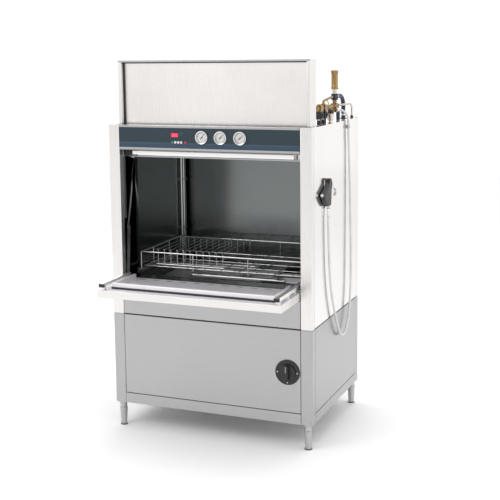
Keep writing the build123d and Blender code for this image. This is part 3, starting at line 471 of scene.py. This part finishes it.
def curve_piece(name, body, look, points, radius):
    """Round wire or tube on one smooth curve, with its control points in millimetres."""
    data = bpy.data.curves.new(name, "CURVE")
    data.dimensions = "3D"
    data.bevel_depth = 1.0
    data.bevel_resolution = 6
    data.resolution_u = 8
    data.use_fill_caps = True
    spline = data.splines.new("NURBS")
    spline.points.add(len(points) - 1)
    for point, target in zip(points, spline.points):
        target.co = (*at(*point), 1)
        target.radius = radius * MM
    spline.order_u = 3
    spline.use_endpoint_u = True
    data.materials.append(MATERIALS[look])
    obj = bpy.data.objects.new(name, data)
    bpy.context.scene.collection.objects.link(obj)
    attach(obj, body)
    return obj


# ---- spray hose ---------------------------------------------------------------------------------
HOSE_POINTS = [
    (616, 690, 2037), (640, 690, 2037), (662, 691, 2028), (679, 694, 2011), (688, 699, 1988),
    (688, 706, 1950), (688, 706, 1900), (689, 718, 1770), (691, 727, 1600), (694, 733, 1400),
    (696, 737, 1200), (698, 739, 1000), (698, 728, 830), (698, 690, 690), (698, 612, 590),
    (698, 520, 590), (697, 440, 680), (696, 372, 800), (694, 316, 930), (693, 284, 1080),
    (692, 270, 1240), (692, 265, 1400), (692, 265, 1462),
]
HOSE_RADIUS = 7.5
OUTLET_FERRULE = [(0, 10.4), (2, 11), (9, 10.6), (11, 9.6), (20, 8.6), (22, 7.7)]
GUN_FERRULE = [(0, 10.4), (4, 11), (8, 9.8), (34, 9.2), (46, 8.2), (46.5, 7.6)]


def make_hose():
    hose = curve_piece("hose_light_grey", "cabinet", "grey_hose", HOSE_POINTS,
                       HOSE_RADIUS)
    hose.data.resolution_u = 14

    def ferrules(bm):
        add_turned(bm, HOSE_POINTS[0], (1, 0, 0), OUTLET_FERRULE)
        add_turned(bm, HOSE_POINTS[-1], (0, 0, -1), GUN_FERRULE)

    ends = piece("hose_ferrules", "cabinet", ["chrome"], ferrules)
    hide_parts("spray_hose")


# ---- control header -----------------------------------------------------------------------------
def gauge_dials(bm):
    """Pale faces with a scale of ticks, just in front of each case's back plate."""
    for x in GAUGE_X:
        add_turned(bm, (x, -1.05, GAUGE_Z), (0, -1, 0), [(0, 35.6), (0.9, 35.6), (1.1, 35.2)], 64)
        for tick in range(28):
            angle = math.radians(-135 + 10 * tick)
            length, width = (7.0, 0.75) if tick % 3 == 0 else (4.0, 0.4)
            out = Vector((math.sin(angle), math.cos(angle)))
            across = Vector((out.y, -out.x)) * width
            ends = [out * 33.0 + across, out * 33.0 - across, out * (33.0 - length) - across,
                    out * (33.0 - length) + across]
            low = [bm.verts.new(at(x + p.x, -2.2, GAUGE_Z + p.y)) for p in ends]
            high = [bm.verts.new(at(x + p.x, -2.5, GAUGE_Z + p.y)) for p in ends]
            for quad in (low, high[::-1]):
                bm.faces.new(quad).material_index = 1
            bridge(bm, [low, high], 1, False)


def gauge_rims(bm):
    """Rolled chrome rims over the lens edges."""
    profile = [(0, 35.2), (0.8, 37.0), (1.6, 39.2), (1.4, 40.6), (-1.2, 41.4), (-4.0, 41.3)]
    for x in GAUGE_X:
        loops = [add_circle(bm, Vector((x, GAUGE_FRONT - along, GAUGE_Z)), Vector((0, 0, 1)),
                            Vector((1, 0, 0)), radius, 64) for along, radius in profile]
        bridge(bm, loops)


def display_details(bm):
    """Thin bezel, glowing digit bars and three small lamps by the display."""
    x0, x1, z0, z1 = -236, -188, 1901, 1925
    for sx in ((x0 - 3, x0), (x1, x1 + 3)):
        add_box(bm, sx, (-1.6, 0.0), (z0 - 3, z1 + 3))
    for sz in ((z0 - 3, z0), (z1, z1 + 3)):
        add_box(bm, (x0, x1), (-1.6, 0.0), sz)
    for digit in range(3):
        left = x0 + 7 + digit * 13
        for low in (z0 + 3.5, z0 + 11.2, z0 + 18.9):
            add_box(bm, (left + 1, left + 7), (-1.3, -0.7), (low, low + 1.5), 1)
        for side in (left, left + 7):
            for low in (z0 + 5.2, z0 + 12.9):
                add_box(bm, (side - 0.2, side + 1.2), (-1.3, -0.7), (low, low + 5.6), 1)
    for x, z in ((-172, 1926), (-172, 1913), (-160, 1926)):
        add_turned(bm, (x, 0, z), (0, -1, 0), [(0, 3.2), (0.8, 3.2), (1.8, 2.2)], 20, 2)


def button_rings(bm):
    """Dark collars round the buttons."""
    for x in BUTTON_X.values():
        add_ring(bm, (x, 0.0, BUTTON_Z), (0, -1, 0), 9.4, 8.1, 1.2, 32)


def button_symbols(body, x, kind):
    """Raised generic mark on a button's cap."""
    def build(bm):
        if kind == "bar":
            add_box(bm, (x - 0.8, x + 0.8), (-4.6, -4.0), (BUTTON_Z - 3.5, BUTTON_Z + 3.5))
        else:
            add_ring(bm, (x, -4.0, BUTTON_Z), (0, -1, 0), 4.0, 2.9, 0.6, 24)
    piece(f"{body}_mark", body, ["ink"], build)


def switch_details(bm):
    """Raised index ring round the plate, its off dot, and screw heads."""
    x, z = SWITCH
    add_ring(bm, (x, SWITCH_FRONT, z), (0, -1, 0), 76.5, 72.5, 1.6, 72)
    off_dot = [(0, 3.4), (0.7, 3.4), (1.1, 2.6)]
    add_turned(bm, (x, SWITCH_FRONT, z - 64), (0, -1, 0), off_dot, 20, 1)
    for side in (-1, 1):
        screw = [(0, 4.2), (1.2, 4.0), (1.8, 2.6)]
        add_turned(bm, (x + side * 64, SWITCH_FRONT, z), (0, -1, 0), screw, 20, 2)


def knob_details(bm):
    """Grey strip painted as the highlight on the handle's flank, grip ribs and fluted rim of the
    rotary handle.
    """
    x, z = SWITCH
    # painted highlight: grey strip standing in for light caught on the handle
    add_box(bm, (x - 2.2, x + 2.2), (-40.8, -40), (z + 6, z + 44), 1)
    for side in (-1, 1):
        for rib in range(6):
            low = z - 36 + rib * 12
            add_box(bm, (x + side * 13 - 0.9, x + side * 13 + 0.9), (-34, -18), (low, low + 5), 0)
    for rib in range(36):
        angle = 2 * math.pi * rib / 36
        px, pz = x + 52 * math.cos(angle), z + 52 * math.sin(angle)
        add_turned(bm, (px, -13.2, pz), (0, 1, 0), [(0, 1.5), (6.0, 1.5)], 10)


# ---- cabinet details ----------------------------------------------------------------------------
def seam_shade_strips(bm):
    """Black strips in the seams round the base panels and under the upper cabinet: painted shade
    standing in for the shade inside the recessed gaps.
    """
    add_box(bm, (-597, 597), (3.5, 8), (750.2, 758.6))
    for side in (-1, 1):
        x = sorted((side * 672.5, side * 668))
        add_box(bm, x, (100, 925), (749.8, 757.6))
        add_box(bm, x, (66, 922), (220.3, 223.8))
        add_box(bm, sorted((side * 598.8, side * 599.8)), (4, 20), (231, 749))
    add_box(bm, (-597, 597), (4, 9), (226.4, 229.6))


def screw_head(bm, place, direction, radius=4.5):
    profile = [(0, radius), (1.0, radius), (2.2, radius * 0.7), (2.5, radius * 0.3)]
    add_turned(bm, place, direction, profile, 20)
    inner = Vector(place) + Vector(direction) * 2.4
    add_turned(bm, inner, direction, [(0, radius * 0.34), (0.35, radius * 0.30)], 6, 1)


def cover_screws(bm):
    for z in (790, 1130, 1540, 1930):
        for x in (-600, -200, 200, 600):
            screw_head(bm, (x, DEPTH, z), (0, 1, 0))
    for z in (270, 490, 710):
        for x in (-570, 570):
            screw_head(bm, (x, DEPTH, z), (0, 1, 0))
    for side in (-1, 1):
        for z in (245, 730):
            for y in (90, 895):
                screw_head(bm, (side * HALF, y, z), (side, 0, 0), 4.0)
        for y in (230, 590, 950):
            screw_head(bm, (side * 630, y, BODY_TOP - 2), (0, 0, 1), 4.0)


def rear_louvres(bm):
    """Pressed ventilation louvres in the rear base panel."""
    for row in range(8):
        z = 560 + row * 20
        for x in (-420, 180):
            add_box(bm, (x, x + 240), (DEPTH, DEPTH + 4.5), (z, z + 7))


def floor_pads(bm):
    """Lock nuts and rubber soles of the adjustable feet."""
    sole = [(0, 22.6), (1.0, 23.6), (5.5, 23.8), (7.0, 22.8)]
    for x in (-FOOT_X, FOOT_X):
        for y in (30, DEPTH - 30):
            add_turned(bm, (x, y, 0.0), (0, 0, 1), sole, 40, 1)
            add_turned(bm, (x, y, 119), (0, 0, 1), [(0, 25), (1.2, 26), (10.8, 26), (12, 25)], 6, 0)


def door_painted_shade_strips(bm):
    """Dark strips where the upper door's panel meets its stiles, and along its top edge: painted
    shade and dark reflection on the stiles' inner faces, and painted shade under the top edge.
    """
    add_box(bm, (-615.9, -613.5), (103, 118), (1769, 2366))
    add_box(bm, (613.5, 615.9), (103, 118), (1769, 2366))
    add_box(bm, (-613, 613), (116, 118), (2350, 2357))


def door_top_channel(bm):
    """Grey folded edge along the top of the panel and its stiles."""
    add_box(bm, (-639, 639), (79.4, 118), (2358, 2369.5))


def handle_lip(bm):
    """Thin return under the grip, along the foot of the upper door."""
    add_box(bm, (-612, 612), (96, 117.5), (1768, 1770))
    add_box(bm, (-612, 612), (94.5, 96), (1762, 1770))


def handle_cap_and_shade_block(bm):
    """Bright end cap on the right, and a dark block round the grip's left end, painted shade
    standing in for the shadowed slot beyond the grip.
    """
    add_box(bm, (540, 543), (63, 105), (1773, 1811), 0)
    # painted shade: dark block at the grip's left end
    add_box(bm, (-598, -504), (62.6, 106), (1772, 1813), 1)


def opening_painted_shade(bm):
    """Dark inner reveals behind the posts and over the opening: painted shade, strips of the
    darkened chamber steel standing in for the shade in the door slot and above the opening.
    """
    for side in (-1, 1):
        add_box(bm, sorted((side * 640.5, side * 642)), (46, 108), (985, 1755))
    add_box(bm, (-596, 596), (8, 58), (1813.5, 1817.5))


# ---- lower door details -------------------------------------------------------------------------
def rail_caps(bm):
    """Black end blocks on the shelf's rack rails."""
    for side in (-1, 1):
        add_box(bm, sorted((side * 553, side * 587)), (-334.5, -320), (1000, 1021.5), 0)
        add_box(bm, sorted((side * 553, side * 587)), (22, 32), (1001, 1021.5), 0)


def shelf_details(bm):
    """Turned-down front bead, a black strip at the foot of the rim painted as the rim's shadow on
    the flange, and drain slots in the shelf's tray.
    """
    add_turned(bm, (-596, -332.5, 979.5), (1, 0, 0), [(0, 2.4), (1192, 2.4)], 16)
    # painted shadow: black strip in front of the rim's foot
    add_box(bm, (-535, 535), (-268, -262.2), (980, 992), 1)
    for x in range(-480, 481, 96):
        add_box(bm, (x - 22, x + 22), (34, 40), (980, 980.7), 1)


def hinge_caps(bm):
    """Nuts on the shelf's hinge pins and caps on the knuckles of its arms."""
    for side in (-1, 1):
        add_turned(bm, (side * 602, *HINGE), (side, 0, 0), [(0, 12), (2.2, 12), (3.2, 10)], 6)
        add_turned(bm, (side * 602, *KNUCKLE), (side, 0, 0), [(0, 9), (1.4, 9), (2.2, 7.4)], 24)


# ---- wash system details ------------------------------------------------------------------------
def perforated_filters(bm):
    """Filter plates as real lattices with square perforations."""
    pitch, web, low, high = 16.0, 5.0, 900, 903
    front, back = 194, 902
    rows = int((back - front - web) // pitch)
    for x0, x1 in ((-572, -4), (4, 150), (390, 572)):
        columns = int((x1 - x0 - web) // pitch)
        for column in range(columns + 1):
            x = x0 + column * (x1 - x0 - web) / columns
            add_box(bm, (x, x + web), (front, back), (low, high))
        for row in range(rows + 1):
            y = front + row * (back - front - web) / rows
            add_box(bm, (x0, x1), (y, y + web), (low + 0.2, high - 0.2))


def arm_nozzles(body, x, z, up):
    """Pressed jet cups, end plugs and the hub nut of one spray arm."""
    def build(bm):
        level = z + 20 if up else z
        sign = 1 if up else -1
        for reach in (70, 120, 170, 220, 250):
            for side in (-1, 1):
                place = (x + side * reach, ARM_Y + side * 8, level)
                add_ring(bm, place, (0, 0, sign), 7.0, 4.4, 2.2, 20)
        for side in (-1, 1):
            start = (x + side * 262, ARM_Y, z + 10)
            add_turned(bm, start, (side, 0, 0), [(0, 8.2), (5.5, 8.2), (6.8, 6.8)], 16)
        add_ring(bm, (x, ARM_Y, z - 7.6 if up else z + 27), (0, 0, sign), 34, 11.5, 1.6, 40)
    piece(f"{body}_jets", body, ["chrome"], build)


def chamber_details(bm):
    """Weld beads in the chamber's corners, pipe clips and bolts on the sill."""
    for side in (-1, 1):
        add_turned(bm, (side * 573.6, 903.6, 982), (0, 0, 1), [(0, 2.4), (832, 2.4)], 10)
        add_turned(bm, (side * 573.6, 192, 1813.6), (0, 1, 0), [(0, 2.2), (712, 2.2)], 10)
        for z in (1080, 1420, 1740):
            add_turned(bm, (side * 586, 189.9, z), (0, -1, 0), [(0, 5), (2.2, 5), (3.4, 3.6)], 6)
    for z in (1180, 1520):
        add_box(bm, (-576, -544), (846, 868), (z, z + 18))
        add_box(bm, (-576, -546), (806, 818), (z, z + 18))
    for x in range(-560, 561, 140):
        add_turned(bm, (x, 110, 980), (0, 0, 1), [(0, 5), (1.6, 4.6), (2.4, 3)], 6)


def rack_feet(bm):
    for x in (-561, 561):
        for y in (205, 760):
            add_box(bm, (x - 5.5, x + 5.5), (y - 14, y + 14), (1023.2, 1032))


# ---- plumbing details ---------------------------------------------------------------------------
def hex_nut(bm, place, direction, radius, length, index=0):
    """Six-sided nut with chamfered ends."""
    profile = [(0, radius * 0.93), (1.2, radius), (length - 1.2, radius), (length, radius * 0.93)]
    add_turned(bm, place, direction, profile, 6, index)


def plumbing_nuts(bm):
    """Union nuts, hose bands and thread collars along the inlet line."""
    x, z = LINE_X, LINE_Z
    collar = [(0, 14.5), (1, 15.5), (5, 15.5), (6, 14.5)]
    for y in (396, 484, 524, 632, 664, 708):
        add_turned(bm, (x, y - 3, z), ALONG_Y, collar, 32, 0)
    hex_nut(bm, (x, 742, z), ALONG_Y, 13, 12, 1)
    hex_nut(bm, (x, BREAKER_Y, 2086), ALONG_Z, 16, 11, 0)
    hex_nut(bm, (x, BREAKER_Y, 2168.5), ALONG_Z, 25.5, 9, 0)
    bonnet = [(0, 14), (3, 14), (4, 13), (7, 12), (7.6, 6)]
    for y in VALVE_Y:
        hex_nut(bm, (x, y, 1991), ALONG_Z, 15, 6, 1)
        add_box(bm, (x + 19.5, x + 26), (y - 9, y + 9), (2008, 2034), 2)
        add_turned(bm, (x, y, 2083), ALONG_Z, bonnet, 32, 0)
    bands = (((x, 718, 2122), ALONG_Y, ALONG_Z), ((x, ARCH_Y, 1990), ALONG_Z, ALONG_Y))
    for place, along, across in bands:
        add_ring(bm, place, along, 15.8, 14.0, 9, 40, 1)
        screw = Vector(place) + Vector(along) * 4.5 + Vector((16, 0, 0))
        add_turned(bm, screw - Vector((0, 4, 4)), across, [(0, 3), (9, 3)], 12, 1)
    hex_nut(bm, (x, STRAINER_Y, 2019), ALONG_Z, 23, 9, 2)
    hex_nut(bm, (x + 37, 955, 1970), ALONG_Z, 11, 14, 2)
    add_ring(bm, (x, ARCH_Y, 1968), ALONG_Z, 23, 14.2, 4.0, 40, 3)
    add_turned(bm, (x, 765, 2024), ALONG_Z, [(0, 12.4), (2, 12), (5, 9), (6, 5.2)], 32, 3)
    for step in range(9):
        add_ring(bm, (x, BREAKER_Y, 2198 + step * 7.5), ALONG_Z, 21.3, 20.2, 2.4, 48, 0)
    for level, index in ((2270, 0), (2288.6, 1)):
        add_ring(bm, (x, BREAKER_Y, level), ALONG_Z, 24.6, 20.6, 1.8, 48, index)


def coil_wires():
    """Short leads from the valve coils down into the cover."""
    for index, y in enumerate(VALVE_Y):
        points = [(624, y, 2021), (634, y + 1, 2020), (640, y + 5, 2008), (640, y + 8, 1990),
                  (638, y + 8, 1969)]
        curve_piece(f"coil_lead_{index + 1}", "cabinet", "rubber", points, 3.2)


def small_pipes():
    """Capillary from the line to the gauge and a drip pipe behind the strainer."""
    points = [(600, 560, 2078), (600, 556, 2098), (590, 536, 2106), (576, 514, 2090),
              (570, 508, 2030), (570, 508, 1968)]
    curve_piece("gauge_capillary", "cabinet", "brass", points, 2.6)
    points = [(594, 636, 2050), (590, 634, 2030), (586, 630, 2000), (586, 630, 1968)]
    curve_piece("drip_pipe", "cabinet", "chrome", points, 5.0)


# ---- spray gun details --------------------------------------------------------------------------
def gun_details(bm):
    """Cover plate, grip ribs, nozzle collar, swivel collar and pivot heads."""
    outline = [(236, 1490), (276, 1490), (284, 1522), (287, 1566), (284, 1588), (262, 1610),
               (214, 1580), (166, 1556), (192, 1512)]
    low = [bm.verts.new(at(703.6, y, z)) for y, z in outline]
    high = [bm.verts.new(at(705.6, y, z)) for y, z in outline]
    bm.faces.new(low[::-1])
    bm.faces.new(high)
    bridge(bm, [low, high], 0, False)
    for rib in range(6):
        z = 1496 + rib * 11
        add_box(bm, (705.2, 707.0), (214 + abs(rib - 5) * 4, 270), (z, z + 5.0))
    nozzle = Vector((0, -32, 5)).normalized()
    start = Vector((GUN_X, 158, 1553.5))
    add_turned(bm, start, nozzle, [(0, 10.6), (2, 11.6), (12, 11.6), (14, 10.2)], 32, 0)
    add_turned(bm, start + nozzle * 14, nozzle, [(0, 9.4), (8.5, 9.2), (10, 7.4)], 32, 1)
    hex_nut(bm, (GUN_X, 265, 1466), ALONG_Z, 13.2, 11, 1)
    add_turned(bm, (GUN_X + 12, 303, 1608), (1, 0, 0), [(0, 4.4), (1.2, 4.2), (1.8, 2.8)], 20, 1)


def add_cabinet_details():
    piece("gauge_dial_faces", "cabinet", ["dial", "ink"], gauge_dials)
    piece("gauge_rims", "cabinet", ["chrome"], gauge_rims)
    piece("display_bezel", "cabinet", ["black", "digit", "green_lamp"],
          display_details)
    piece("button_rings", "cabinet", ["black"], button_rings)
    for name in ("start", "stop", "short", "medium", "long"):
        button_symbols(f"{name}_button", BUTTON_X[name], "bar" if name == "start" else "ring")
    piece("switch_index_ring", "cabinet", ["black", "white", "chrome"],
          switch_details)
    piece("switch_grip_details", "main_switch", ["black", "grey_painted_highlight"],
          knob_details, 0.4)
    piece("seam_shade_strips", "cabinet", ["rubber"], seam_shade_strips)
    piece("cover_screws", "cabinet", ["bracket", "black"], cover_screws)
    piece("rear_louvres", "cabinet", ["base"], rear_louvres, 1.6)
    piece("foot_nuts_and_soles", "cabinet", ["bracket", "rubber"], floor_pads)
    piece("opening_shade_reveals", "cabinet", ["chamber"], opening_painted_shade)
    piece("chamber_welds_and_clips", "cabinet", ["chamber"], chamber_details, 0.6)


def add_door_details():
    piece("door_shade_strips", "upper_door", ["rubber"], door_painted_shade_strips)
    piece("door_top_channel", "upper_door", ["base"], door_top_channel, 0.6)
    piece("door_foot_lip", "upper_door", ["base"], handle_lip, 0.4)
    piece("handle_cap_and_shade_shroud", "upper_door", ["bright", "rubber"], handle_cap_and_shade_block, 1.2)
    piece("shelf_rail_caps", "lower_door", ["black"], rail_caps, 1.0)
    piece("shelf_bead_and_drains", "lower_door", ["tray", "black"], shelf_details)
    piece("shelf_hinge_caps", "lower_door", ["chrome"], hinge_caps)


def add_wash_details():
    piece("filter_lattice", "cabinet", ["tray"], perforated_filters,
          stands_for=("tank_filters",))
    for side, x in zip(("left", "right"), ARM_CENTRES):
        arm_nozzles(f"lower_arm_{side}", x, LOWER_ARM_Z, True)
        arm_nozzles(f"upper_arm_{side}", x, UPPER_ARM_Z, False)
    piece("rack_glide_feet", "rack", ["black"], rack_feet, 1.0)


def add_plumbing_details():
    looks = ["brass", "chrome", "black", "rubber"]
    piece("plumbing_nuts", "cabinet", looks, plumbing_nuts, 0.5)
    coil_wires()
    small_pipes()
    piece("gun_details", "cabinet", ["black", "chrome"], gun_details, 0.5)


make_camera()
make_hose()
make_stage()
dress_nodes()
add_cabinet_details()
add_door_details()
add_wash_details()
add_plumbing_details()
